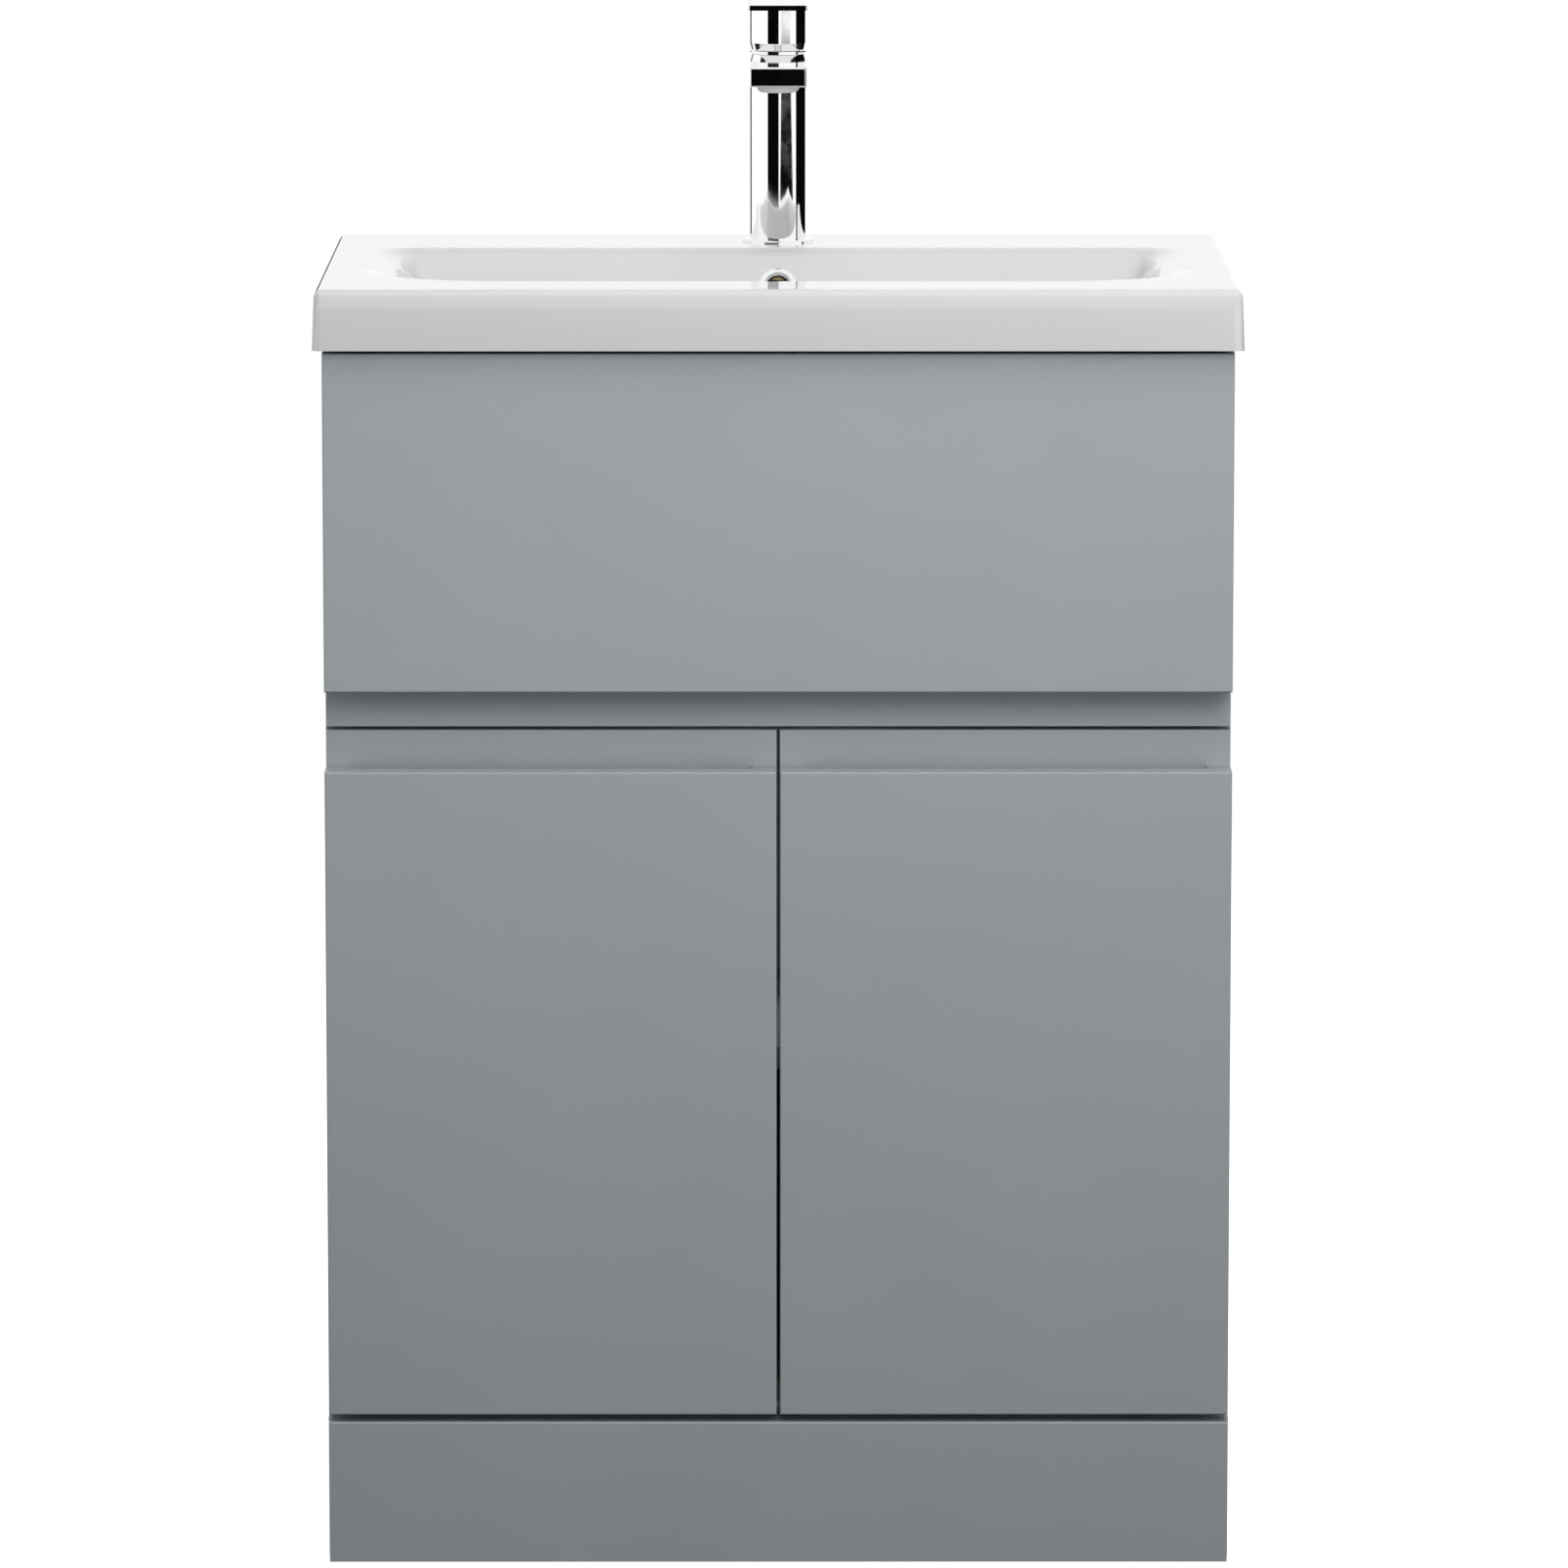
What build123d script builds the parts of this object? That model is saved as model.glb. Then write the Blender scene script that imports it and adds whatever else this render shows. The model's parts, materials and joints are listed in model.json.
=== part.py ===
from build123d import *
from math import cos, radians, sin, tan
import os

# Bathroom vanity cabinet: a slab basin on a floor-standing cabinet with one drawer over two doors.
# Millimetres. Origin on the floor at the centre of the footprint, +X right, -Y front, +Z up.

# ---- driving dimensions: overall
basin_depth = 395
basin_edge = 40
cabinet_width = 600
cabinet_height = 812
basin_overhang = 10
basin_side_overhang = 5
plinth_height = 95

# ---- driving dimensions: boards
panel = 18
face_board = 16
core_board = 15
back_board = 15
back_sheet = 8
shelf_board = 16
drawer_board = 15
pocket_board = 12
drawer_sheet = 8

# ---- driving dimensions: fronts
front_reveal = 1
drawer_face_height = 224
drawer_grip_reach = 26.8
door_grip_reach = 23.6
grip_split = 2.6
grip_depth = 30
grip_block = 16
basin_shadow_gap = 2.7
door_floor_gap = 5
door_split = 2.3
front_edge_round = 1.2
carcass_gap = 2

# ---- driving dimensions: carcass inside
mid_rail_depth = 80
mid_rail_set_back = 30
mid_rail_lap = 9.5
rear_rail_height = 100
bottom_rail_height = 80
sheet_lap = 20
wall_hole_spacing = 400
wall_hole_radius = 3.5
wall_hole_drop = 50
service_cutout_width = 300
service_cutout_height = 130
service_cutout_bottom = 510
shelf_height = 320
shelf_set_back = 25
pin_radius = 2.5
pin_grip = 8
dowel_radius = 4
dowel_length = 30
dowel_front_room = 40
dowel_back_room = 60
dowel_edge_room = 15
shelf_pin_front_room = 35
shelf_pin_back_room = 45
service_cutout_round = 20

# ---- driving dimensions: drawer
drawer_box_height = 110
drawer_box_lift = 16
runner_thickness = 12.7
runner_height = 45
drawer_back_room = 13
drawer_bottom_rise = 6
runner_wall = 1.2
pocket_width = 160
pocket_front_room = 60

# ---- driving dimensions: hinges, measured from a door's hinge edge (in) and its face (back)
hinge_low = 180
hinge_high = 470
arm_pivot_in = 9.2
arm_pivot_back = 42.3
cup_pivot_in = 32.2
cup_pivot_back = 40.4
cup_radius = 17.5
cup_depth = 12.3
cup_wall = 1.0
cup_edge_distance = 3.6
hinge_pin_radius = 1.5
arm_thickness = 2.5
arm_width = 8
link_plate = 1.5
plate_thickness = 2.6
plate_length = 52
plate_height = 30

# ---- driving dimensions: basin
bowl_depth = 115
bowl_front_rim = 60
bowl_side_rim = 53
bowl_back_ledge = 108
bowl_corner = 60
bowl_rim_round = 9
bowl_taper = 12
bowl_floor_round = 24
ceramic = 9
deck_thickness = 14
skirt_thickness = 12
basin_round = 5
tap_hole_radius = 17.5
tap_from_back = 50
overflow_drop = 26.3
overflow_ring_radius = 13.5
overflow_hole_radius = 10
overflow_flange = 1.5
waste_hole_room = 1.55
waste_flange_radius = 31.5
waste_flange_thickness = 2
waste_tail_radius = 20.95
waste_wall = 3.45
waste_length = 80
waste_groove_width = 2
waste_groove_depth = 0.5
waste_nut_height = 10
waste_seal_thickness = 2
plug_radius = 29
plug_thickness = 4
plug_stem_radius = 5
plug_lift_gap = 0.4

# ---- driving dimensions: tap
tap_radius = 19
tap_base_radius = 25
tap_base_thickness = 2
tap_body_height = 131
spout_thickness = 13.5
spout_reach = 142
spout_round = 1.2
aerator_radius = 14.3
aerator_drop = 4.5
aerator_set_back = 18.5
barrel_height = 29.5
barrel_gap = 0.4
barrel_neck = 5
barrel_taper = 1.3
cartridge_radius = 15
lever_width = 40
lever_thickness = 4
lever_gap = 2.5
lever_reach = 96
lever_pivot_back = 14
lever_pivot_drop = 2.5
lever_pin_radius = 1.5
lever_lug_width = 12
lever_lug_radius = 4
shank_radius = 16
shank_length = 55
inlet_radius = 5
inlet_spacing = 18
inlet_length = 25

# ---- clearances
pin_clearance = 0.05
side_clearance = 1
running_clearance = 0.06
member_clearance = 0.5
slip_clearance = 0.3

# ---- levels and planes worked out from the values above
front = -basin_depth / 2 + basin_overhang
back = basin_depth / 2
basin_front = -basin_depth / 2
basin_width = cabinet_width + 2 * basin_side_overhang
bowl_width = basin_width - 2 * bowl_side_rim
bowl_length = basin_depth - bowl_front_rim - bowl_back_ledge
outer = cabinet_width / 2
inner = outer - panel
front_half = outer - front_reveal
leaf_thickness = face_board + core_board + back_board
carcass_front = front + leaf_thickness + carcass_gap
basin_top = cabinet_height + basin_edge

drawer_top = cabinet_height - basin_shadow_gap
drawer_lip = drawer_top - drawer_face_height
drawer_wall_low = drawer_lip - drawer_grip_reach
door_wall_high = drawer_wall_low - grip_split
door_lip = door_wall_high - door_grip_reach
door_bottom = plinth_height + door_floor_gap

base_low = plinth_height
base_high = plinth_height + panel
rear_rail_front = back - panel
sheet_front = rear_rail_front - back_sheet
rear_rail_low = cabinet_height - rear_rail_height
mid_rail_low = door_wall_high - mid_rail_lap
mid_rail_high = mid_rail_low + panel

os.makedirs("parts", exist_ok=True)


def block(x, y, z, mode=Mode.ADD):
    """A box from its low and high limits along each axis."""
    with Locations(((x[0] + x[1]) / 2, (y[0] + y[1]) / 2, (z[0] + z[1]) / 2)):
        Box(x[1] - x[0], y[1] - y[0], z[1] - z[0], mode=mode)


def rod(centre, radius, length, direction, mode=Mode.ADD):
    """A cylinder from a point on its end face, along a direction."""
    with BuildSketch(Plane(centre, z_dir=direction)) as section:
        Circle(radius)
    extrude(section.sketch, amount=length, mode=mode)


def save(name, piece):
    piece.part.label = name
    export_step(piece.part, f"parts/{name}.step")


# ================================================================ carcass
dowel_rows = [
    (carcass_front + dowel_front_room, (base_low + base_high) / 2),
    (rear_rail_front - dowel_back_room, (base_low + base_high) / 2),
    (carcass_front + mid_rail_set_back + mid_rail_depth / 2, (mid_rail_low + mid_rail_high) / 2),
    ((rear_rail_front + back) / 2, rear_rail_low + dowel_edge_room),
    ((rear_rail_front + back) / 2, cabinet_height - dowel_edge_room),
    ((rear_rail_front + back) / 2, base_high + bottom_rail_height / 2),
]
dowel_half = dowel_length / 2
dowel_hole = dowel_radius + pin_clearance
dowel_end_room = 1
shelf_pin_rows = [carcass_front + shelf_set_back + shelf_pin_front_room, sheet_front - shelf_pin_back_room]
shelf_pin_level = shelf_height - pin_radius


def dowel_holes(side, depth_each_way):
    """Blind dowel holes across the joint between a side panel and the boards that meet it."""
    for y, z in dowel_rows:
        rod((side * (inner - depth_each_way), y, z), dowel_hole, 2 * depth_each_way, (side, 0, 0),
            mode=Mode.SUBTRACT)


for name, side in [("side_left", -1), ("side_right", 1)]:
    with BuildPart() as side_panel:
        block(sorted((side * inner, side * outer)), (carcass_front, back), (0, cabinet_height))
        dowel_holes(side, dowel_half + dowel_end_room)
        for y in shelf_pin_rows:
            rod((side * inner, y, shelf_pin_level), pin_radius + pin_clearance, pin_grip + dowel_end_room,
                (side, 0, 0), mode=Mode.SUBTRACT)
    save(name, side_panel)

with BuildPart() as base_panel:
    block((-inner, inner), (carcass_front, rear_rail_front), (base_low, base_high))
    for side in (-1, 1):
        dowel_holes(side, dowel_half + dowel_end_room)
save("base_panel", base_panel)

with BuildPart() as mid_rail:
    block((-inner, inner),
          (carcass_front + mid_rail_set_back, carcass_front + mid_rail_set_back + mid_rail_depth),
          (mid_rail_low, mid_rail_high))
    for side in (-1, 1):
        dowel_holes(side, dowel_half + dowel_end_room)
save("mid_rail", mid_rail)

with BuildPart() as top_rear_rail:
    block((-inner, inner), (rear_rail_front, back), (rear_rail_low, cabinet_height))
    for side in (-1, 1):
        dowel_holes(side, dowel_half + dowel_end_room)
        rod((side * wall_hole_spacing / 2, rear_rail_front, cabinet_height - wall_hole_drop),
            wall_hole_radius, panel, (0, 1, 0), mode=Mode.SUBTRACT)
save("top_rear_rail", top_rear_rail)

with BuildPart() as bottom_rear_rail:
    block((-inner, inner), (rear_rail_front, back), (base_high, base_high + bottom_rail_height))
    for side in (-1, 1):
        dowel_holes(side, dowel_half + dowel_end_room)
save("bottom_rear_rail", bottom_rear_rail)

sheet_high = rear_rail_low + sheet_lap
with BuildPart() as back_panel:
    block((-inner, inner), (sheet_front, rear_rail_front), (base_high, sheet_high))
    with BuildSketch(Plane.XZ.offset(-rear_rail_front)):
        with Locations((0, service_cutout_bottom + service_cutout_height / 2)):
            RectangleRounded(service_cutout_width, service_cutout_height, service_cutout_round)
    extrude(amount=back_sheet, mode=Mode.SUBTRACT)
save("back_panel", back_panel)

with BuildPart() as shelf:
    block((-inner + side_clearance, inner - side_clearance),
          (carcass_front + shelf_set_back, sheet_front - side_clearance),
          (shelf_height, shelf_height + shelf_board))
    fillet(shelf.edges().filter_by(Axis.X).group_by(Axis.Y)[0], front_edge_round)
save("shelf", shelf)

with BuildPart() as shelf_pins:
    for side in (-1, 1):
        for y in shelf_pin_rows:
            rod((side * (inner - pin_grip), y, shelf_pin_level), pin_radius, 2 * pin_grip, (side, 0, 0))
save("shelf_pins", shelf_pins)

with BuildPart() as joining_dowels:
    for side in (-1, 1):
        for y, z in dowel_rows:
            rod((side * (inner - dowel_half), y, z), dowel_radius, dowel_length, (side, 0, 0))
save("joining_dowels", joining_dowels)

with BuildPart() as plinth_board:
    block((-front_half, front_half), (front, front + panel), (0, plinth_height))
    fillet(plinth_board.edges().filter_by(Axis.X).group_by(Axis.Z)[-1], front_edge_round)
save("plinth_board", plinth_board)

with BuildPart() as plinth_blocks:
    for side in (-1, 1):
        block(sorted((side * inner, side * outer)), (front + panel, carcass_front), (0, plinth_height))
    block((-inner, inner), (front + panel, carcass_front), (plinth_height - panel, plinth_height))
save("plinth_blocks", plinth_blocks)

# ================================================================ fronts
cup_centre_in = cup_edge_distance + cup_radius
hinge_levels = (hinge_low, hinge_high)


def front_leaf(prefix, x, face_z, wall_z, grip_z, cup_side=0):
    """A laminated front: face board, core, back board and the two blocks that close its grip."""
    core_z = (face_z[0], grip_z[0]) if grip_z[1] == face_z[1] else (grip_z[1], face_z[1])
    with BuildPart() as face:
        block(x, (front, front + face_board), face_z)
        fillet(face.faces().sort_by(Axis.Y)[0].edges(), front_edge_round)
    save(prefix + "_face", face)
    with BuildPart() as core:
        block(x, (front + face_board, front + face_board + core_board), core_z)
    save(prefix + "_core", core)
    with BuildPart() as grip_blocks:
        for end in ((x[0], x[0] + grip_block), (x[1] - grip_block, x[1])):
            block(end, (front + face_board, front + face_board + core_board), grip_z)
    save(prefix + "_grip_blocks", grip_blocks)
    with BuildPart() as wall:
        block(x, (front + face_board + core_board, front + leaf_thickness), wall_z)
        if cup_side:
            cup_x = -front_half + cup_centre_in if cup_side < 0 else front_half - cup_centre_in
            for level in hinge_levels:
                rod((cup_x, front + leaf_thickness, level), cup_radius, cup_depth, (0, -1, 0),
                    mode=Mode.SUBTRACT)
    save(prefix + "_back", wall)


front_leaf("drawer", (-front_half, front_half), (drawer_lip, drawer_top), (drawer_wall_low, drawer_top),
           (drawer_lip, drawer_lip + grip_depth))
for prefix, side in [("door_left", -1), ("door_right", 1)]:
    front_leaf(prefix, sorted((side * front_half, side * door_split / 2)), (door_bottom, door_lip),
               (door_bottom, door_wall_high), (door_lip - grip_depth, door_lip), side)

# ================================================================ hinges
arm_route = [(arm_pivot_in, arm_pivot_back), (17.4, 44.3), (20.9, 47.2), (20.9, leaf_thickness + 58)]


def door_point(side, inwards, backwards):
    """A plan position measured from a door's hinge edge and its face."""
    return side * (front_half - inwards), front + backwards


def upright_pin(side, inwards, backwards, level, radius, height, mode=Mode.ADD):
    x, y = door_point(side, inwards, backwards)
    rod((x, y, level - height / 2), radius, height, (0, 0, 1), mode)


arm_eye = 2.6
link_eye = 2.6
link_gap = 0.3
link_inside = arm_width / 2 + link_gap
link_outside = link_inside + link_plate
cup_inside = cup_radius - cup_wall
cup_pivot_offset = cup_pivot_in - cup_centre_in
cup_pin_half = (cup_radius**2 - (cup_pivot_offset + hinge_pin_radius) ** 2) ** 0.5 - cup_wall / 10

with BuildPart() as hinge_arms:
    for side in (-1, 1):
        for level in hinge_levels:
            with BuildSketch(Plane.XY.offset(level - arm_width / 2)):
                with BuildLine():
                    line = Polyline(*[door_point(side, *p) for p in arm_route])
                trace(line, arm_thickness)
                with Locations(door_point(side, arm_pivot_in, arm_pivot_back)):
                    Circle(arm_eye)
            extrude(amount=arm_width)
            upright_pin(side, arm_pivot_in, arm_pivot_back, level, hinge_pin_radius + running_clearance,
                        arm_width, Mode.SUBTRACT)
save("hinge_arms", hinge_arms)

with BuildPart() as hinge_plates:
    plate_x = (inner - plate_thickness + slip_clearance / 2, inner)
    for side in (-1, 1):
        for level in hinge_levels:
            y_start = carcass_front + 8
            block(sorted((side * plate_x[0], side * plate_x[1])), (y_start, y_start + plate_length),
                  (level - plate_height / 2, level + plate_height / 2))
save("hinge_plates", hinge_plates)

for prefix, side in [("left", -1), ("right", 1)]:
    with BuildPart() as links:
        arm_end = door_point(side, arm_pivot_in, arm_pivot_back)
        ends = [arm_end, door_point(side, cup_pivot_in, cup_pivot_back)]
        for level in hinge_levels:
            for low in (level - link_outside, level + link_inside):
                with BuildSketch(Plane.XY.offset(low)):
                    with BuildLine():
                        line = Polyline(*ends)
                    trace(line, 2 * link_eye)
                    with Locations(*ends):
                        Circle(link_eye)
                    with Locations(ends[1]):
                        Circle(hinge_pin_radius + running_clearance, mode=Mode.SUBTRACT)
                extrude(amount=link_plate)
            upright_pin(side, arm_pivot_in, arm_pivot_back, level, hinge_pin_radius, 2 * link_outside)
    save(f"hinge_links_{prefix}", links)

    with BuildPart() as cups:
        for level in hinge_levels:
            x, y = door_point(side, cup_centre_in, leaf_thickness)
            rod((x, y, level), cup_radius, cup_depth, (0, -1, 0))
            rod((x, y, level), cup_inside, cup_depth - cup_wall, (0, -1, 0), Mode.SUBTRACT)
            upright_pin(side, cup_pivot_in, cup_pivot_back, level, hinge_pin_radius, 2 * cup_pin_half)
    save(f"hinge_cups_{prefix}", cups)

    with BuildPart() as bumpers:
        bumper_x, bumper_y = door_point(side, front_half - 25, leaf_thickness)
        rod((bumper_x, bumper_y, (base_low + base_high) / 2), 4, carcass_gap - slip_clearance, (0, 1, 0))
    save(f"door_bumper_{prefix}", bumpers)

# ================================================================ drawer box and runners
box_outer = inner - runner_thickness
box_inner = box_outer - drawer_board
box_low = mid_rail_high + drawer_box_lift
box_high = box_low + drawer_box_height
box_front = front + leaf_thickness
box_back = sheet_front - drawer_back_room
bowl_centre = basin_front + bowl_front_rim + bowl_length / 2
pocket_face = bowl_centre - pocket_front_room
pocket_half = pocket_width / 2
bottom_low = box_low + drawer_bottom_rise
bottom_high = bottom_low + drawer_sheet

for name, side in [("drawer_side_left", -1), ("drawer_side_right", 1)]:
    with BuildPart() as drawer_side:
        block(sorted((side * box_inner, side * box_outer)), (box_front, box_back), (box_low, box_high))
        fillet(drawer_side.edges().filter_by(Axis.Y).group_by(Axis.Z)[-1], front_edge_round)
    save(name, drawer_side)

with BuildPart() as drawer_box_front:
    block((-box_inner, box_inner), (box_front, box_front + drawer_board), (box_low, box_high))
save("drawer_box_front", drawer_box_front)

with BuildPart() as drawer_bottom:
    block((-box_inner, box_inner), (box_front + drawer_board, box_back), (bottom_low, bottom_high))
    block((-pocket_half, pocket_half), (pocket_face, box_back), (bottom_low, bottom_high), Mode.SUBTRACT)
save("drawer_bottom", drawer_bottom)

with BuildPart() as pocket_front:
    block((-pocket_half - pocket_board, pocket_half + pocket_board),
          (pocket_face - pocket_board, pocket_face), (bottom_high, box_high))
save("pocket_front", pocket_front)

for name, side in [("pocket_left", -1), ("pocket_right", 1)]:
    with BuildPart() as pocket_side:
        block(sorted((side * pocket_half, side * (pocket_half + pocket_board))),
              (pocket_face, box_back), (bottom_high, box_high))
    save(name, pocket_side)

with BuildPart() as drawer_backs:
    for side in (-1, 1):
        block(sorted((side * (pocket_half + pocket_board), side * box_inner)),
              (box_back - drawer_board, box_back), (bottom_high, box_high))
save("drawer_backs", drawer_backs)

runner_level = (box_low + box_high) / 2


def runner_channel(side, web, lip, half_height):
    """A C-section from its web's outside to its lips' tips, both measured from the cabinet's centre."""
    wall = runner_wall if web > lip else -runner_wall
    block(sorted((side * (web - wall), side * web)), runner_y,
          (runner_level - half_height, runner_level + half_height))
    for low, high in ((-half_height, runner_wall - half_height), (half_height - runner_wall, half_height)):
        block(sorted((side * web, side * lip)), runner_y, (runner_level + low, runner_level + high))


runner_y = (carcass_front + slip_clearance, box_back)
outer_web = inner
slide_web = outer_web - runner_wall - member_clearance
inner_lip = slide_web - runner_wall - member_clearance
outer_lip = box_outer + member_clearance
slide_half = runner_height / 2 - runner_wall - member_clearance
inner_half = slide_half - runner_wall - member_clearance

with BuildPart() as runner_rails:
    for side in (-1, 1):
        runner_channel(side, outer_web, outer_lip, runner_height / 2)
save("runner_rails", runner_rails)

with BuildPart() as runner_slides:
    for side in (-1, 1):
        runner_channel(side, slide_web, outer_lip, slide_half)
save("runner_slides", runner_slides)

with BuildPart() as runner_drawer_rails:
    for side in (-1, 1):
        runner_channel(side, box_outer, inner_lip, inner_half)
save("runner_drawer_rails", runner_drawer_rails)

# ================================================================ basin
deck_low = basin_top - deck_thickness
waste_bore_radius = waste_tail_radius - waste_wall
waste_hole_radius = waste_tail_radius + waste_hole_room
bowl_floor = basin_top - bowl_depth
tap_y = back - tap_from_back


def bowl_form(grow, top, depth, round_size, mode):
    """The bowl's tapered form with rounded corners and a rounded floor edge."""
    with BuildSketch(Plane.XY.offset(top)) as rim:
        with Locations((0, bowl_centre)):
            RectangleRounded(bowl_width + 2 * grow, bowl_length + 2 * grow, bowl_corner + grow)
    with BuildPart(mode=Mode.PRIVATE) as form:
        add(rim.sketch)
        extrude(amount=-depth, taper=bowl_taper)
        fillet(form.faces().sort_by(Axis.Z)[0].edges(), round_size)
    add(form.part, mode=mode)


# the overflow sits on the bowl's back wall, square to it
wall_lean = radians(bowl_taper)
overflow_level = basin_top - overflow_drop
overflow_y = bowl_centre + bowl_length / 2 - overflow_drop * tan(wall_lean)
overflow_out = (0, -cos(wall_lean), sin(wall_lean))
overflow_in = (0, cos(wall_lean), -sin(wall_lean))
overflow_at = (0, overflow_y, overflow_level)


def along(start, direction, distance):
    return tuple(p + d * distance for p, d in zip(start, direction))


with BuildPart() as basin:
    block((-basin_width / 2, basin_width / 2), (basin_front, back), (cabinet_height, basin_top))
    fillet(basin.edges().filter_by(Axis.Z), basin_round)
    fillet(basin.faces().sort_by(Axis.Z)[-1].edges(), basin_round)
    block((-basin_width / 2 + skirt_thickness, basin_width / 2 - skirt_thickness),
          (basin_front + skirt_thickness, back - skirt_thickness), (cabinet_height, deck_low), Mode.SUBTRACT)
    bowl_form(ceramic, basin_top, bowl_depth + ceramic, bowl_floor_round + ceramic / 2, Mode.ADD)
    bowl_form(0, basin_top, bowl_depth, bowl_floor_round, Mode.SUBTRACT)
    fillet(basin.faces().filter_by(Plane.XY).sort_by(Axis.Z)[-1].inner_wires()[0].edges(), bowl_rim_round)
    rod((0, bowl_centre, bowl_floor - 2 * ceramic), waste_hole_radius, 4 * ceramic, (0, 0, 1), Mode.SUBTRACT)
    rod((0, tap_y, deck_low - 1), tap_hole_radius, deck_thickness + 2, (0, 0, 1), Mode.SUBTRACT)
    rod(along(overflow_at, overflow_out, ceramic), overflow_hole_radius, 3 * ceramic, overflow_in,
        Mode.SUBTRACT)
save("basin", basin)

with BuildPart() as overflow_ring:
    rod(overflow_at, overflow_ring_radius, overflow_flange, overflow_out)
    rod(overflow_at, overflow_hole_radius - pin_clearance, ceramic, overflow_in)
    rod(along(overflow_at, overflow_out, overflow_flange), overflow_hole_radius - 2,
        overflow_flange + ceramic, overflow_in, Mode.SUBTRACT)
    fillet(overflow_ring.faces().sort_by(Axis(overflow_at, overflow_out))[-1].outer_wire().edges(), 1)
save("overflow_ring", overflow_ring)

# ================================================================ waste
waste_top = bowl_floor + waste_flange_thickness
waste_low = waste_top - waste_length
basin_low = bowl_floor - ceramic
waste_nut_low = basin_low - waste_seal_thickness - waste_nut_height
waste_groove_low = waste_nut_low - 1 - waste_groove_width
nut_radius = waste_flange_radius - 1
hub_radius = plug_stem_radius + 4
hub_height = 6
hub_low = waste_top - 35

with BuildPart() as waste_body:
    rod((0, bowl_centre, bowl_floor), waste_flange_radius, waste_flange_thickness, (0, 0, 1))
    fillet(waste_body.edges().sort_by(Axis.Z)[-1], waste_flange_thickness * 0.6)
    rod((0, bowl_centre, waste_low), waste_tail_radius, waste_length, (0, 0, 1))
    with BuildSketch(Plane.XY.offset(waste_groove_low)):
        with Locations((0, bowl_centre)):
            Circle(waste_tail_radius + 1)
            Circle(waste_tail_radius - waste_groove_depth, mode=Mode.SUBTRACT)
    extrude(amount=waste_groove_width, mode=Mode.SUBTRACT)
    rod((0, bowl_centre, waste_low), waste_bore_radius, waste_length, (0, 0, 1), Mode.SUBTRACT)
    rod((0, bowl_centre, hub_low), hub_radius, hub_height, (0, 0, 1))
    for angle in range(0, 180, 60):
        with BuildSketch(Plane.XY.offset(hub_low)):
            with Locations(Location((0, bowl_centre), angle)):
                Rectangle(2 * waste_bore_radius + 1, 2)
        extrude(amount=hub_height)
    rod((0, bowl_centre, hub_low), plug_stem_radius + running_clearance, hub_height, (0, 0, 1), Mode.SUBTRACT)
save("waste_body", waste_body)

with BuildPart() as waste_seal:
    seal_at = (0, bowl_centre, basin_low - waste_seal_thickness)
    rod(seal_at, nut_radius, waste_seal_thickness, (0, 0, 1))
    rod(seal_at, waste_tail_radius, waste_seal_thickness, (0, 0, 1), Mode.SUBTRACT)
save("waste_seal", waste_seal)

with BuildPart() as waste_nut:
    with BuildSketch(Plane.XY.offset(waste_nut_low)):
        with Locations((0, bowl_centre)):
            RegularPolygon(nut_radius, 6)
            Circle(waste_tail_radius, mode=Mode.SUBTRACT)
    extrude(amount=waste_nut_height)
save("waste_nut", waste_nut)

with BuildPart() as waste_plug:
    plug_low = waste_top + plug_lift_gap
    rod((0, bowl_centre, plug_low), plug_radius, plug_thickness, (0, 0, 1))
    fillet(waste_plug.edges().sort_by(Axis.Z)[-1], plug_thickness * 0.6)
    rod((0, bowl_centre, hub_low - 8), plug_stem_radius, plug_low - hub_low + 8, (0, 0, 1))
save("waste_plug", waste_plug)

# ================================================================ tap
tap_foot = basin_top + tap_base_thickness
tap_joint = tap_foot + tap_body_height - tap_base_thickness
spout_top = tap_joint - 1
spout_low = spout_top - spout_thickness
spout_end = tap_y - spout_reach
water_radius = 4
cartridge_low = spout_low - 12
collar_height = 14
barrel_low = tap_joint + barrel_gap
barrel_top = barrel_low + barrel_height
bore_radius = cartridge_radius + running_clearance
aerator_y = spout_end + aerator_set_back
thread_radius = aerator_radius - 3
thread_depth = 5

with BuildPart() as tap_base:
    rod((0, tap_y, basin_top), tap_base_radius, tap_base_thickness, (0, 0, 1))
    fillet(tap_base.edges().sort_by(Axis.Z)[-1], tap_base_thickness / 2)
    rod((0, tap_y, basin_top), shank_radius, tap_base_thickness, (0, 0, 1), Mode.SUBTRACT)
save("tap_base", tap_base)

with BuildPart() as tap_body:
    rod((0, tap_y, tap_foot), tap_radius, tap_joint - tap_foot, (0, 0, 1))
    block((-tap_radius, tap_radius), (spout_end, tap_y), (spout_low, spout_top))
    fillet(tap_body.faces().sort_by(Axis.Y)[0].edges(), spout_round)
    rod((0, tap_y, cartridge_low), bore_radius, tap_joint - cartridge_low, (0, 0, 1), Mode.SUBTRACT)
    rod((0, aerator_y, (spout_low + spout_top) / 2), water_radius, tap_y - aerator_y, (0, 1, 0),
        Mode.SUBTRACT)
    rod((0, aerator_y, spout_low), thread_radius, thread_depth, (0, 0, 1), Mode.SUBTRACT)
    rod((0, tap_y, tap_foot), inlet_spacing / 2 + inlet_radius, cartridge_low - tap_foot - 6, (0, 0, 1),
        Mode.SUBTRACT)
save("tap_body", tap_body)

with BuildPart() as tap_aerator:
    rod((0, aerator_y, spout_low - aerator_drop), aerator_radius, aerator_drop, (0, 0, 1))
    fillet(tap_aerator.edges().sort_by(Axis.Z)[0], aerator_drop * 0.8)
    rod((0, aerator_y, spout_low), thread_radius, thread_depth - 1, (0, 0, 1))
    rod((0, aerator_y, spout_low - aerator_drop), aerator_radius - 6, aerator_drop + thread_depth - 2,
        (0, 0, 1), Mode.SUBTRACT)
save("tap_aerator", tap_aerator)

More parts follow.
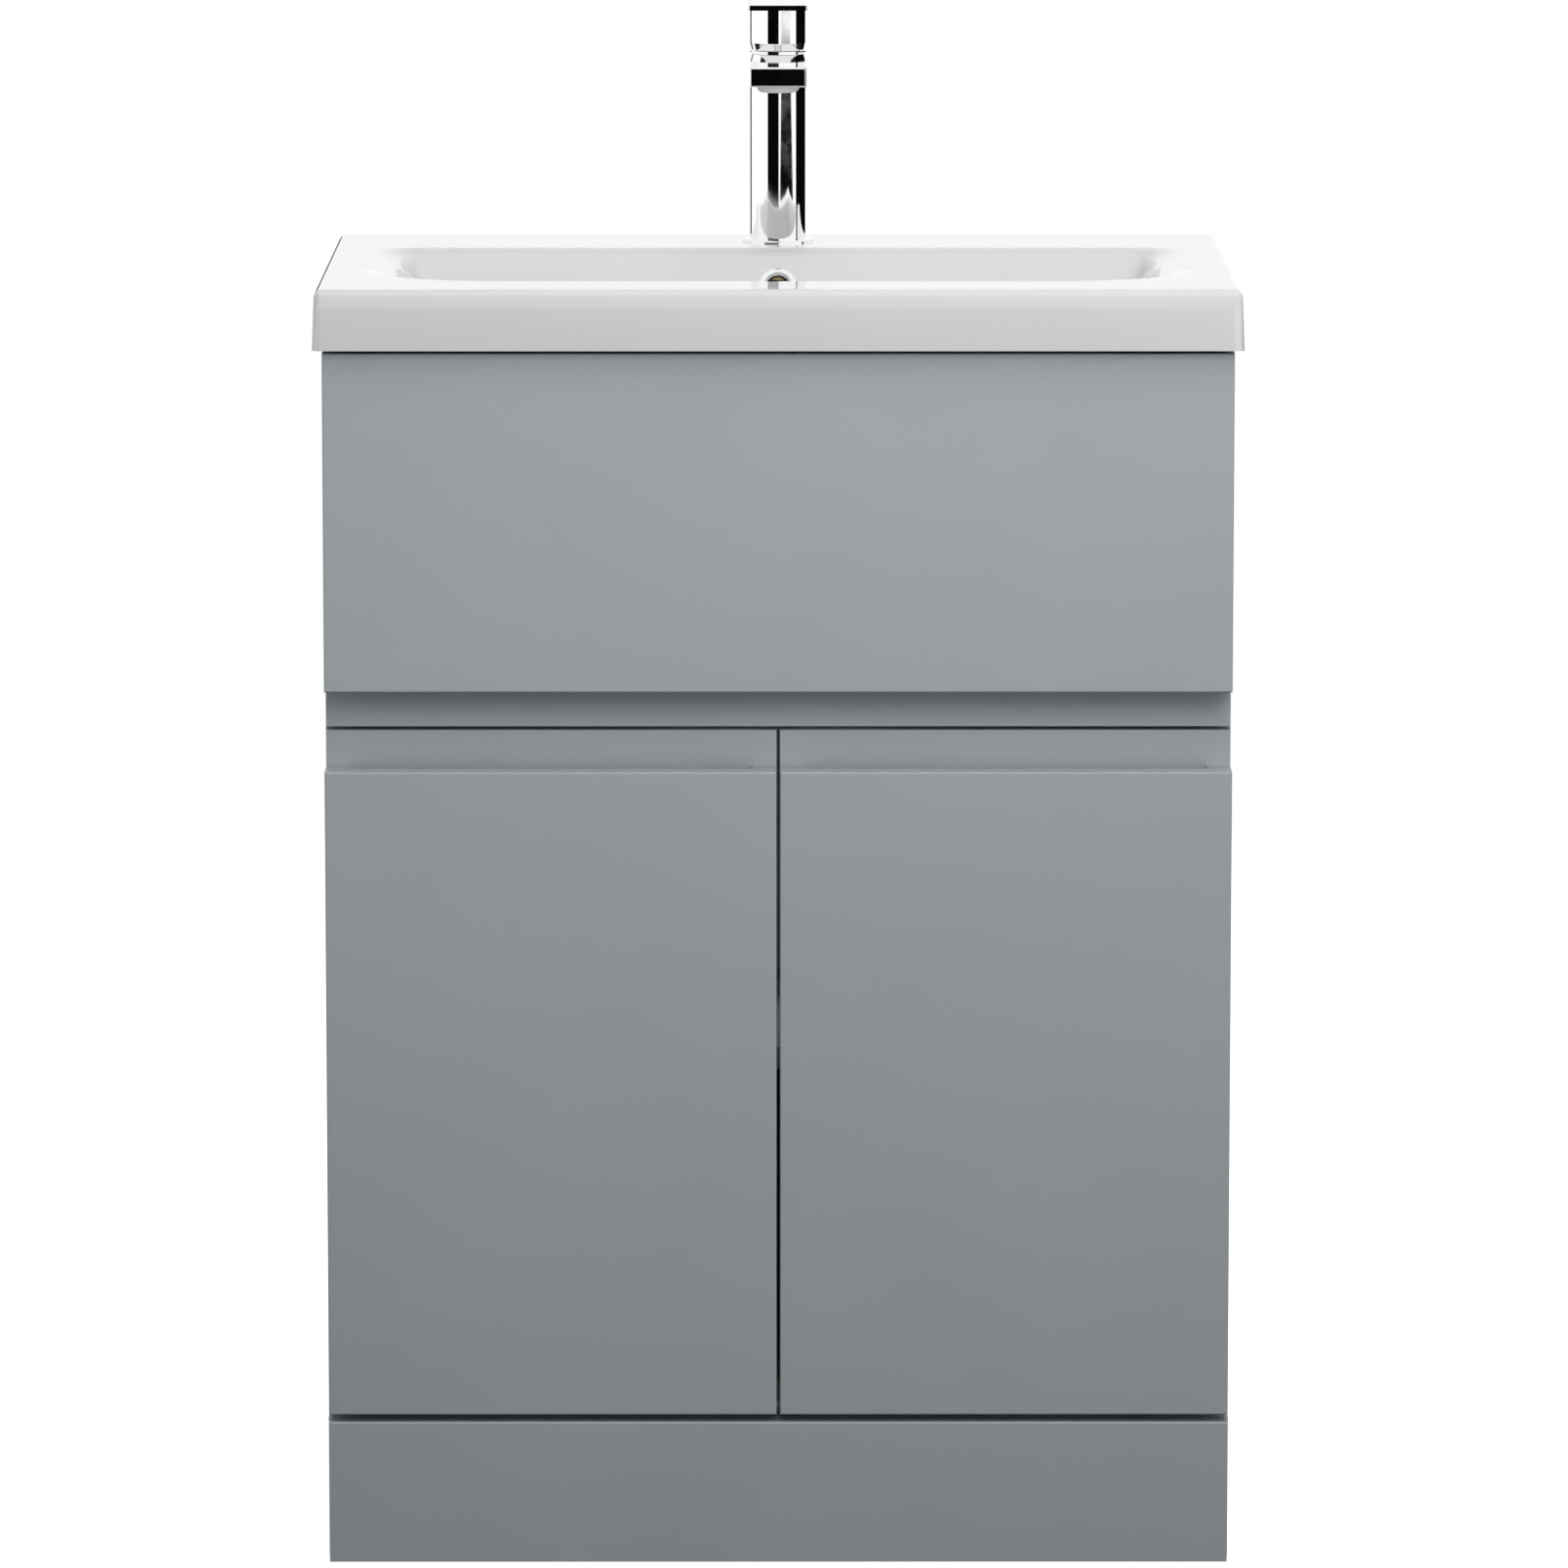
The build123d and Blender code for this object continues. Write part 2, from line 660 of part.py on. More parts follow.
with BuildPart() as tap_cartridge:
    rod((0, tap_y, cartridge_low), cartridge_radius, tap_joint + collar_height - cartridge_low, (0, 0, 1))
save("tap_cartridge", tap_cartridge)

pivot_y = tap_y + lever_pivot_back
pivot_z = barrel_top - lever_pivot_drop - lever_lug_radius / 2
recess_depth = barrel_top - pivot_z + lever_lug_radius + slip_clearance
recess_half = lever_lug_width / 2 + slip_clearance

with BuildPart() as tap_barrel:
    rod((0, tap_y, barrel_low + barrel_neck), tap_radius, barrel_height - barrel_neck, (0, 0, 1))
    fillet(tap_barrel.edges().sort_by(Axis.Z)[-1], 0.6)
    with Locations((0, tap_y, barrel_low + barrel_neck / 2)):
        Cone(tap_radius - barrel_taper, tap_radius, barrel_neck)
    rod((0, tap_y, barrel_low), bore_radius, collar_height + 1, (0, 0, 1), Mode.SUBTRACT)
    block((-recess_half, recess_half), (pivot_y - lever_lug_radius - 3, tap_y + tap_radius),
          (barrel_top - recess_depth, barrel_top), Mode.SUBTRACT)
    rod((-tap_radius, pivot_y, pivot_z), lever_pin_radius, 2 * tap_radius, (1, 0, 0), Mode.SUBTRACT)
save("tap_barrel", tap_barrel)

pin_half = (tap_radius**2 - lever_pivot_back**2) ** 0.5 - 0.8
with BuildPart() as tap_lever_pin:
    rod((-pin_half, pivot_y, pivot_z), lever_pin_radius, 2 * pin_half, (1, 0, 0))
save("tap_lever_pin", tap_lever_pin)

lever_low = barrel_top + lever_gap
lever_rear = pivot_y + lever_lug_radius + 0.5
with BuildPart() as tap_lever:
    block((-lever_width / 2, lever_width / 2), (lever_rear - lever_reach, lever_rear),
          (lever_low, lever_low + lever_thickness))
    fillet(tap_lever.edges().filter_by(Axis.Z), 1)
    fillet(tap_lever.edges().filter_by(Plane.XY).group_by(Axis.Z)[-1], 0.5)
    rod((-lever_lug_width / 2, pivot_y, pivot_z), lever_lug_radius, lever_lug_width, (1, 0, 0))
    block((-lever_lug_width / 2, lever_lug_width / 2), (pivot_y - lever_lug_radius + 1, pivot_y + 2),
          (pivot_z, lever_low))
    rod((-lever_lug_width / 2, pivot_y, pivot_z), lever_pin_radius + running_clearance, lever_lug_width,
        (1, 0, 0), Mode.SUBTRACT)
save("tap_lever", tap_lever)

shank_low = tap_foot - shank_length
washer_thickness = 3
tap_nut_height = 8
with BuildPart() as tap_shank:
    rod((0, tap_y, shank_low), shank_radius, shank_length, (0, 0, 1))
    rod((0, tap_y, shank_low), inlet_spacing / 2 + inlet_radius, shank_length, (0, 0, 1), Mode.SUBTRACT)
save("tap_shank", tap_shank)

with BuildPart() as tap_washer:
    rod((0, tap_y, deck_low - washer_thickness), tap_base_radius, washer_thickness, (0, 0, 1))
    rod((0, tap_y, deck_low - washer_thickness), shank_radius, washer_thickness, (0, 0, 1), Mode.SUBTRACT)
save("tap_washer", tap_washer)

with BuildPart() as tap_nut:
    with BuildSketch(Plane.XY.offset(deck_low - washer_thickness - tap_nut_height)):
        with Locations((0, tap_y)):
            RegularPolygon(tap_base_radius - 1, 6)
            Circle(shank_radius, mode=Mode.SUBTRACT)
    extrude(amount=tap_nut_height)
save("tap_nut", tap_nut)

inlet_low = shank_low - inlet_length
with BuildPart() as tap_inlets:
    for side in (-1, 1):
        rod((side * inlet_spacing / 2, tap_y, inlet_low), inlet_radius, cartridge_low - 6 - inlet_low,
            (0, 0, 1))
        rod((side * inlet_spacing / 2, tap_y, inlet_low), inlet_radius - 1.5, cartridge_low - 8 - inlet_low,
            (0, 0, 1), Mode.SUBTRACT)
save("tap_inlets", tap_inlets)

print("waste nut low", waste_nut_low, "groove low", waste_groove_low)
print("leaf", leaf_thickness, "door lip", round(door_lip, 2), "joint level", round(tap_joint, 2))
print("bowl centre", bowl_centre, "waste low", waste_low, "runner level", round(runner_level, 2))
print("lever pivot", round(pivot_y, 3), round(pivot_z, 3), "box back", box_back)
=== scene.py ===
import bpy
import json
import math
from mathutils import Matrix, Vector


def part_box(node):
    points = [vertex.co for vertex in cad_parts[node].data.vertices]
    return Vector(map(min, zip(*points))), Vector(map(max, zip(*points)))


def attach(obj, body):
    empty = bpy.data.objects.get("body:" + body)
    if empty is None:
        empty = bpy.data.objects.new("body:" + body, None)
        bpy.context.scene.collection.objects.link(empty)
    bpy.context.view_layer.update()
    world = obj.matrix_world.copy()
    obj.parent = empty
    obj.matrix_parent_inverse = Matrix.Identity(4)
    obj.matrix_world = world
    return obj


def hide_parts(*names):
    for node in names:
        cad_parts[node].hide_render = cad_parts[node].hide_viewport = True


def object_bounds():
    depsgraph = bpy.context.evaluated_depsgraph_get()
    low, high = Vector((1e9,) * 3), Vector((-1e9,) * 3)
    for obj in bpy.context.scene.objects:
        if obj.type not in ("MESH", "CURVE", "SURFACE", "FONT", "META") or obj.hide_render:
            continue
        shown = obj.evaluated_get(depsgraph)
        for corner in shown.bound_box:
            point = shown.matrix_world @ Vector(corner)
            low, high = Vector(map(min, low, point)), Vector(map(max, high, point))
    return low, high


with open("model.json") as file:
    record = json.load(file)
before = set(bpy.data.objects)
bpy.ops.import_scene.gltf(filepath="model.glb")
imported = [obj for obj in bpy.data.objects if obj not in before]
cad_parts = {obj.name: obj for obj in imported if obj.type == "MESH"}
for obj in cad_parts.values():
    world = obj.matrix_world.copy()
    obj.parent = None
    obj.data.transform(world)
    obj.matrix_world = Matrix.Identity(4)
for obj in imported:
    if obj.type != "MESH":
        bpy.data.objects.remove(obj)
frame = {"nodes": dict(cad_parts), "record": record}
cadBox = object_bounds()
nodes = frame["nodes"]
slotOf = {part["node"]: part["material_slot"] for part in frame["record"]["subparts"]}
mm = 0.001


studio = {
    "eye": (-3.25 * mm, -6.5495, 1.4835),
    "tiltDown": 8.572,
    "turn": -0.063,
    "lens": 224.2,
    "sensor": 36,
    "roomLow": 0.57,  # light of the room near the horizon, over what comes from straight above
    "roomHigh": 0.08,
    "roomBias": 0.12,  # how much stronger it is from the right
    "mirrorWhite": 1.15,
    "mirrorBlack": 0.002,
    "mirrorSky": 0.1,  # polished metal sees white above this height of a ray
}

# place, the point it is aimed at, width and height, power
lights = {
    "frontSoftbox": ((0.45, -1.5, 1.45), (0, -0.1, 0.75), (1.1, 0.8), 8.2),
    "topSoftbox": ((0.2, -0.9, 2.5), (0, -0.1, 0.7), (1.4, 0.9), 10),
    "backSoftbox": ((0, 1.3, 2.0), (0, 0.1, 0.85), (1.6, 0.8), 6),
}

# what polished metal sees round the tap: bright and dark cards, by bearing in degrees from straight ahead
cards = [(-180, "black"), (-145, "white"), (-44, "black"), (1.5, "white"), (80, "black"), (158, "white")]
# one dark card stands lower down on the right and widens towards the floor
lowCard = {"top": -0.0738, "span": 0.019, "left": (15, 7), "right": (51, 68)}


def makeCamera():
    data = bpy.data.cameras.new("viewCamera")
    data.lens = studio["lens"]
    data.sensor_width = studio["sensor"]
    data.clip_end = 60
    camera = bpy.data.objects.new("viewCamera", data)
    camera.location = studio["eye"]
    camera.rotation_euler = (math.radians(90 - studio["tiltDown"]), 0, math.radians(studio["turn"]))
    bpy.context.scene.collection.objects.link(camera)
    bpy.context.scene.camera = camera


def areaLight(name, place, aim, size, power):
    data = bpy.data.lights.new(name, "AREA")
    data.shape = "RECTANGLE"
    data.size, data.size_y = size
    data.energy = power
    lamp = bpy.data.objects.new(name, data)
    lamp.location = place
    lamp.rotation_euler = (Vector(aim) - Vector(place)).to_track_quat("-Z", "Y").to_euler()
    lamp.visible_glossy = False
    lamp.visible_camera = False
    bpy.context.scene.collection.objects.link(lamp)


def node(tree, kind, **values):
    made = tree.nodes.new(kind)
    for name, value in values.items():
        setattr(made, name, value)
    return made


def mathNode(tree, operation, first, second=None):
    made = node(tree, "ShaderNodeMath", operation=operation)
    for socket, value in zip(made.inputs, (first, second)):
        if isinstance(value, (int, float)):
            socket.default_value = value
        elif value is not None:
            tree.links.new(value, socket)
    return made.outputs[0]


def ramp(tree, factor, stops, interpolation="LINEAR"):
    made = node(tree, "ShaderNodeValToRGB")
    made.color_ramp.interpolation = interpolation
    elements = made.color_ramp.elements
    while len(elements) < len(stops):
        elements.new(0.5)
    for element, (place, colour) in zip(elements, stops):
        element.position = place
        element.color = (*colour, 1) if len(colour) == 3 else colour
    tree.links.new(factor, made.inputs[0])
    return made.outputs[0]


def grey(value):
    return (value, value, value)


def mixColour(tree, factor, first, second):
    made = node(tree, "ShaderNodeMixRGB")
    tree.links.new(factor, made.inputs[0])
    for socket, value in zip(made.inputs[1:], (first, second)):
        if isinstance(value, tuple):
            socket.default_value = (*value, 1)
        else:
            tree.links.new(value, socket)
    return made.outputs[0]


def makeRoom():
    world = bpy.data.worlds.new("studioRoom")
    world.use_nodes = True
    bpy.context.scene.world = world
    tree = world.node_tree
    tree.nodes.clear()
    direction = node(tree, "ShaderNodeTexCoord")
    split = node(tree, "ShaderNodeSeparateXYZ")
    tree.links.new(direction.outputs["Generated"], split.inputs[0])
    # bearing of a ray, from -0.5 behind on the left through 0 straight ahead to 0.5 behind on the right
    bearing = mathNode(tree, "ARCTAN2", split.outputs[0], mathNode(tree, "MULTIPLY", split.outputs[1], -1))
    turn = mathNode(tree, "ADD", mathNode(tree, "DIVIDE", bearing, 2 * math.pi), 0.5)
    tones = {"white": grey(studio["mirrorWhite"]), "black": grey(studio["mirrorBlack"])}
    stripes = ramp(tree, turn, [((angle + 180) / 360, tones[tone]) for angle, tone in cards], "CONSTANT")
    drop = mathNode(tree, "SUBTRACT", lowCard["top"], split.outputs[2])
    down = mathNode(tree, "DIVIDE", drop, lowCard["span"])
    edges = []
    for side in ("left", "right"):
        start, end = (angle / 360 + 0.5 for angle in lowCard[side])
        edges.append(mathNode(tree, "ADD", mathNode(tree, "MULTIPLY", down, end - start), start))
    inside = mathNode(tree, "MULTIPLY", mathNode(tree, "GREATER_THAN", turn, edges[0]),
                      mathNode(tree, "LESS_THAN", turn, edges[1]))
    onCard = mathNode(tree, "MULTIPLY", inside, mathNode(tree, "GREATER_THAN", down, 0))
    low = mixColour(tree, onCard, stripes, tones["black"])
    high = mathNode(tree, "GREATER_THAN", split.outputs[2], studio["mirrorSky"])
    behind = mathNode(tree, "MULTIPLY", mathNode(tree, "GREATER_THAN", split.outputs[1], 0),
                      mathNode(tree, "GREATER_THAN", split.outputs[2], 0))
    mirrored = mixColour(tree, mathNode(tree, "MAXIMUM", high, behind), low, grey(1))
    # the soft light of the room is stronger from low down, and a little from the right
    height = mathNode(tree, "SUBTRACT", 1, mathNode(tree, "MAXIMUM", split.outputs[2], 0))
    soft = mathNode(tree, "ADD", mathNode(tree, "MULTIPLY", height, studio["roomLow"]), studio["roomHigh"])
    lift = mathNode(tree, "ADD", mathNode(tree, "MULTIPLY", split.outputs[0], studio["roomBias"]), 1)
    path = node(tree, "ShaderNodeLightPath")
    glossy = mixColour(tree, path.outputs["Is Glossy Ray"], mathNode(tree, "MULTIPLY", soft, lift), mirrored)
    seen = mixColour(tree, path.outputs["Is Camera Ray"], glossy, grey(1))
    background = node(tree, "ShaderNodeBackground")
    tree.links.new(seen, background.inputs[0])
    output = node(tree, "ShaderNodeOutputWorld")
    tree.links.new(background.outputs[0], output.inputs[0])


makeCamera()
makeRoom()
for name, values in lights.items():
    areaLight(name, *values)
bpy.context.scene.view_settings.view_transform = "Standard"
print("studio ready")


def finish(name, colour, roughness, metallic=0.0):
    material = bpy.data.materials.new(name)
    material.use_nodes = True
    tree = material.node_tree
    shader = tree.nodes["Principled BSDF"]
    shader.inputs["Base Color"].default_value = (*colour, 1)
    shader.inputs["Roughness"].default_value = roughness
    shader.inputs["Metallic"].default_value = metallic
    place = node(tree, "ShaderNodeTexCoord").outputs["Object"]
    return material, tree, shader, place


def noise(tree, place, scale, detail=3, stretch=None):
    if stretch:
        mapping = node(tree, "ShaderNodeMapping")
        mapping.inputs["Scale"].default_value = stretch
        tree.links.new(place, mapping.inputs[0])
        place = mapping.outputs[0]
    made = node(tree, "ShaderNodeTexNoise")
    made.inputs["Scale"].default_value = scale
    made.inputs["Detail"].default_value = detail
    tree.links.new(place, made.inputs["Vector"])
    return made.outputs["Fac"]


def mottle(tree, shader, factor, dark, light):
    tree.links.new(ramp(tree, factor, [(0.3, dark), (0.7, light)]), shader.inputs["Base Color"])


def sheenVariation(tree, shader, factor, low, high):
    tree.links.new(ramp(tree, factor, [(0.3, grey(low)), (0.7, grey(high))]), shader.inputs["Roughness"])


def bump(tree, shader, factor, strength, distance):
    made = node(tree, "ShaderNodeBump")
    made.inputs["Strength"].default_value = strength
    made.inputs["Distance"].default_value = distance
    tree.links.new(factor, made.inputs["Height"])
    tree.links.new(made.outputs[0], shader.inputs["Normal"])


def satinPaint():
    material, tree, shader, place = finish("satinPaint", (0.51, 0.548, 0.575), 0.38)
    mottle(tree, shader, noise(tree, place, 9, 4), (0.502, 0.54, 0.567), (0.518, 0.556, 0.583))
    sheenVariation(tree, shader, noise(tree, place, 26, 5), 0.34, 0.42)
    bump(tree, shader, noise(tree, place, 950, 2), 0.10, 0.0001)
    shader.inputs["Specular IOR Level"].default_value = 0.35
    return material


def carcassBoard():
    material, tree, shader, place = finish("carcassBoard", (0.80, 0.81, 0.81), 0.5)
    mottle(tree, shader, noise(tree, place, 30, 5, (1, 1, 6)), (0.77, 0.78, 0.78), (0.82, 0.83, 0.83))
    bump(tree, shader, noise(tree, place, 1400, 2), 0.25, 0.0001)
    return material


def beechWood():
    material, tree, shader, place = finish("beechWood", (0.6, 0.45, 0.28), 0.6)
    mottle(tree, shader, noise(tree, place, 60, 5, (0.2, 3, 3)), (0.52, 0.36, 0.21), (0.66, 0.50, 0.32))
    bump(tree, shader, noise(tree, place, 300, 3, (0.1, 3, 3)), 0.3, 0.0001)
    return material


def glazedChina():
    material, tree, shader, place = finish("glazedChina", grey(0.845), 0.12)
    mottle(tree, shader, noise(tree, place, 5, 2), (0.835, 0.836, 0.838), (0.853, 0.854, 0.856))
    sheenVariation(tree, shader, noise(tree, place, 14, 3), 0.09, 0.15)
    bump(tree, shader, noise(tree, place, 22, 2), 0.12, 0.0006)
    shader.inputs["Coat Weight"].default_value = 1
    shader.inputs["Coat Roughness"].default_value = 0.04
    return material


def mirrorChrome():
    material, tree, shader, place = finish("mirrorChrome", (0.88, 0.885, 0.89), 0.03, 1.0)
    mottle(tree, shader, noise(tree, place, 40, 2), (0.87, 0.875, 0.88), (0.89, 0.895, 0.90))
    sheenVariation(tree, shader, noise(tree, place, 120, 4), 0.02, 0.055)
    return material


def zincSteel():
    material, tree, shader, place = finish("zincSteel", (0.56, 0.57, 0.58), 0.34, 1.0)
    mottle(tree, shader, noise(tree, place, 180, 4), (0.50, 0.51, 0.52), (0.62, 0.63, 0.64))
    sheenVariation(tree, shader, noise(tree, place, 300, 3, (1, 0.05, 1)), 0.26, 0.42)
    bump(tree, shader, noise(tree, place, 900, 2, (1, 0.04, 1)), 0.15, 0.0001)
    return material


def turnedBrass():
    material, tree, shader, place = finish("turnedBrass", (0.70, 0.53, 0.26), 0.28, 1.0)
    mottle(tree, shader, noise(tree, place, 90, 4), (0.64, 0.47, 0.22), (0.74, 0.57, 0.30))
    sheenVariation(tree, shader, noise(tree, place, 400, 3, (1, 1, 8)), 0.2, 0.36)
    bump(tree, shader, noise(tree, place, 700, 2, (0.2, 0.2, 6)), 0.2, 0.0001)
    return material


def mouldedPlastic():
    material, tree, shader, place = finish("mouldedPlastic", (0.72, 0.73, 0.74), 0.5)
    mottle(tree, shader, noise(tree, place, 80, 3), (0.70, 0.71, 0.72), (0.74, 0.75, 0.76))
    bump(tree, shader, noise(tree, place, 2200, 2), 0.3, 0.0001)
    return material


def sealRubber():
    material, tree, shader, place = finish("sealRubber", (0.03, 0.03, 0.032), 0.65)
    sheenVariation(tree, shader, noise(tree, place, 200, 3), 0.55, 0.75)
    bump(tree, shader, noise(tree, place, 1600, 3), 0.4, 0.0001)
    return material


finishes = {
    "paint": satinPaint(),
    "carcass_board": carcassBoard(),
    "dowel_wood": beechWood(),
    "ceramic": glazedChina(),
    "chrome": mirrorChrome(),
    "steel": zincSteel(),
    "brass": turnedBrass(),
    "plastic": mouldedPlastic(),
    "rubber": sealRubber(),
}

for name, piece in nodes.items():
    for slot in piece.material_slots:
        slot.link = "OBJECT"
        slot.material = finishes[slotOf[name]]
print("finishes on", len(nodes), "nodes")


floorSize = {
    "radius": 3,
    "below": 0.2 * mm,
    # strength of the painted glow that lights the floor round the cabinet
    "paintedGlow": 0.9,
    "backLight": 0.06,  # how much light it throws back up
    "shadeSide": 6 * mm,  # the painted shade under the cabinet, where the floor's glow is left off, stops this far inside the basin's sides
    "shadeFront": 11 * mm,
}


def makeFloor():
    bpy.ops.object.select_all(action="DESELECT")
    bpy.ops.mesh.primitive_circle_add(vertices=96, radius=floorSize["radius"], fill_type="NGON",
                                      location=(0, 0, cadBox[0][2] - floorSize["below"]))
    floor = bpy.context.object
    floor.name = "studioFloor"
    material, tree, shader, place = finish("paleFloor", grey(0.82), 0.9)
    mottle(tree, shader, noise(tree, place, 3, 3), grey(0.815), grey(0.825))
    shader.inputs["Specular IOR Level"].default_value = 0
    # painted light and shade: the floor glows all round the cabinet, and the glow is left off under it, so it
    # is dark there from painted shade as well as real shade
    split = node(tree, "ShaderNodeSeparateXYZ")
    tree.links.new(place, split.inputs[0])
    beside = mathNode(tree, "GREATER_THAN", mathNode(tree, "ABSOLUTE", split.outputs[0]),
                      cadBox[1][0] - floorSize["shadeSide"])
    before = mathNode(tree, "LESS_THAN", split.outputs[1], cadBox[0][1] + floorSize["shadeFront"])
    beyond = mathNode(tree, "GREATER_THAN", split.outputs[1], cadBox[1][1])
    paintedGlowMask = mathNode(tree, "MAXIMUM", beside, mathNode(tree, "MAXIMUM", before, beyond))
    # painted glow: the floor shines only outside the cabinet's footprint, which paints the shade under the
    # cabinet
    shader.inputs["Emission Color"].default_value = (1, 1, 1, 1)
    paintedGlow = mathNode(tree, "MULTIPLY", paintedGlowMask, floorSize["paintedGlow"])
    tree.links.new(paintedGlow, shader.inputs["Emission Strength"])
    # the floor is bright to look at, but it throws little light back up at the cabinet
    dim = node(tree, "ShaderNodeBsdfDiffuse")
    dim.inputs["Color"].default_value = (*grey(floorSize["backLight"]), 1)
    mix = node(tree, "ShaderNodeMixShader")
    tree.links.new(node(tree, "ShaderNodeLightPath").outputs["Is Camera Ray"], mix.inputs[0])
    tree.links.new(dim.outputs[0], mix.inputs[1])
    tree.links.new(shader.outputs[0], mix.inputs[2])
    tree.links.new(mix.outputs[0], tree.nodes["Material Output"].inputs["Surface"])
    floor.data.materials.append(material)


makeFloor()


basinSize = {
    "edgeRound": 5 * mm,
    "edgeSegments": 5,
    "draft": 1.5 * mm,
    "sideOpening": 281 * mm,
    "backOpening": 96.9 * mm,
    "frontOpening": -138 * mm,
    "backCorner": (34 * mm, 60 * mm),  # how far the corner is rounded, and how far its roll changes
    "frontCorner": (110 * mm, 130 * mm),
    "sideRoll": (43 * mm, math.radians(68)),  # radius of the rim, and how steep the wall is below it
    "backRoll": (9 * mm, math.radians(78)),
    "frontRoll": (9 * mm, math.radians(78)),
    "depth": 115 * mm,
    "floorBlend": 46 * mm,
    "floorRise": 5 * mm,
    "floorSlope": (36 * mm, 190 * mm),  # where the floor's rise starts and ends, from the waste
    "wall": 10 * mm,
    "tapHole": 17.5 * mm,
    "wasteHole": 22.5 * mm,
    "overflowHole": 10 * mm,
    "cells": (150, 156),
    "edgeCell": 6.5 * mm,
}


def smoothStep(low, high, value):
    t = min(max((value - low) / (high - low), 0), 1)
    return t * t * (3 - 2 * t)


def blendedLow(a, b, spread):
    h = max(spread - abs(a - b), 0) / spread
    return min(a, b) - h * h * spread / 4


def rollDepth(inward, roll):
    # depth below the deck at a distance inside the opening: an arc, then a straight wall
    radius, angle = roll
    if inward <= 0:
        return 0
    arcRun = radius * math.sin(angle)
    if inward < arcRun:
        return radius - math.sqrt(radius * radius - inward * inward)
    return radius * (1 - math.cos(angle)) + (inward - arcRun) * math.tan(angle)


def bowlDepth(x, y, wasteY):
    s = basinSize
    middle = (s["backOpening"] + s["frontOpening"]) / 2
    half = (s["backOpening"] - s["frontOpening"]) / 2
    sideways = abs(x) - s["sideOpening"]
    lengthways = abs(y - middle) - half
    back = smoothStep(middle - half, middle + half, y)
    cornerSpread, rollSpread = [back * far + (1 - back) * near
                                for far, near in zip(s["backCorner"], s["frontCorner"])]
    inward = blendedLow(-sideways, -lengthways, cornerSpread)
    share = smoothStep(-0.5 * rollSpread, 0.5 * rollSpread, sideways - lengthways)
    endRoll = s["backRoll"] if y > middle else s["frontRoll"]
    roll = [share * side + (1 - share) * end for side, end in zip(s["sideRoll"], endRoll)]
    wall = rollDepth(inward, roll)
    fromWaste = math.hypot(x, y - wasteY)
    base = s["depth"] - s["floorRise"] * smoothStep(*s["floorSlope"], fromWaste)
    return max(blendedLow(wall, base, s["floorBlend"]), 0)


def applyAll(piece):
    bpy.ops.object.select_all(action="DESELECT")
    piece.select_set(True)
    bpy.context.view_layer.objects.active = piece
    for modifier in list(piece.modifiers):
        bpy.ops.object.modifier_apply(modifier=modifier.name)


def settle(piece):
    bpy.ops.object.select_all(action="DESELECT")
    piece.select_set(True)
    bpy.context.view_layer.objects.active = piece
    bpy.ops.object.transform_apply(location=True, rotation=True, scale=True)


def cutHole(piece, centre, direction, radius, length):
    bpy.ops.object.select_all(action="DESELECT")
    bpy.ops.mesh.primitive_cylinder_add(vertices=96, radius=radius, depth=length, location=centre)
    cutter = bpy.context.object
    cutter.rotation_euler = Vector(direction).to_track_quat("Z", "Y").to_euler()
    cut = piece.modifiers.new("hole", "BOOLEAN")
    cut.operation = "DIFFERENCE"
    cut.object = cutter
    cut.solver = "EXACT"
    applyAll(piece)
    bpy.data.objects.remove(cutter)


ringSize = {
    "lean": math.radians(12),
    "flange": 1.5 * mm,
    "radius": 13.5 * mm,
    # radius and height above the wall of each step of the crowned face, from its rim to the end of its sleeve
    "steps": [(13.5, 0), (13.42, 0.5), (13.1, 0.95), (12.5, 1.28), (11.7, 1.46), (10.8, 1.5), (9.9, 1.4),
              (9.1, 1.1), (8.5, 0.6), (8.1, -0.1), (8.0, -1.0), (8.0, -8.5), (9.9, -8.5), (9.9, -0.6)],
}


def ringPlace():
    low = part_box("overflow_ring")[0]
    lean = ringSize["lean"]
    y = low[1] + ringSize["flange"] * math.cos(lean) + ringSize["radius"] * math.sin(lean)
    z = low[2] + ringSize["radius"] * math.cos(lean)
    return (0, y, z), (0, -math.cos(lean), math.sin(lean))


def makeOverflowRing():
    centre, outwards = ringPlace()
    steps = ringSize["steps"]
    bpy.ops.object.select_all(action="DESELECT")
    bpy.ops.mesh.primitive_circle_add(vertices=96, radius=steps[0][0] * mm, fill_type="NOTHING")
    ring = bpy.context.object
    ring.name = "overflowRing"
    bpy.ops.object.mode_set(mode="EDIT")
    bpy.ops.mesh.select_all(action="SELECT")
    for (radius, height), (nextRadius, nextHeight) in zip(steps, steps[1:]):
        bpy.ops.mesh.extrude_edges_move(TRANSFORM_OT_translate={"value": (0, 0, (nextHeight - height) * mm)})
        bpy.ops.transform.resize(value=(nextRadius / radius, nextRadius / radius, 1),
                                 center_override=(0, 0, 0))
    bpy.ops.mesh.select_all(action="SELECT")
    bpy.ops.mesh.normals_make_consistent(inside=False)
    bpy.ops.object.mode_set(mode="OBJECT")
    ring.rotation_euler = Vector(outwards).to_track_quat("Z", "Y").to_euler()
    ring.location = centre
    ring.data.materials.append(finishes["chrome"])
    settle(ring)
    bpy.ops.object.shade_smooth_by_angle(angle=math.radians(50))
    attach(ring, "cabinet")
    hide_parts("overflow_ring")
    print("overflow ring", len(ring.data.polygons), "faces")


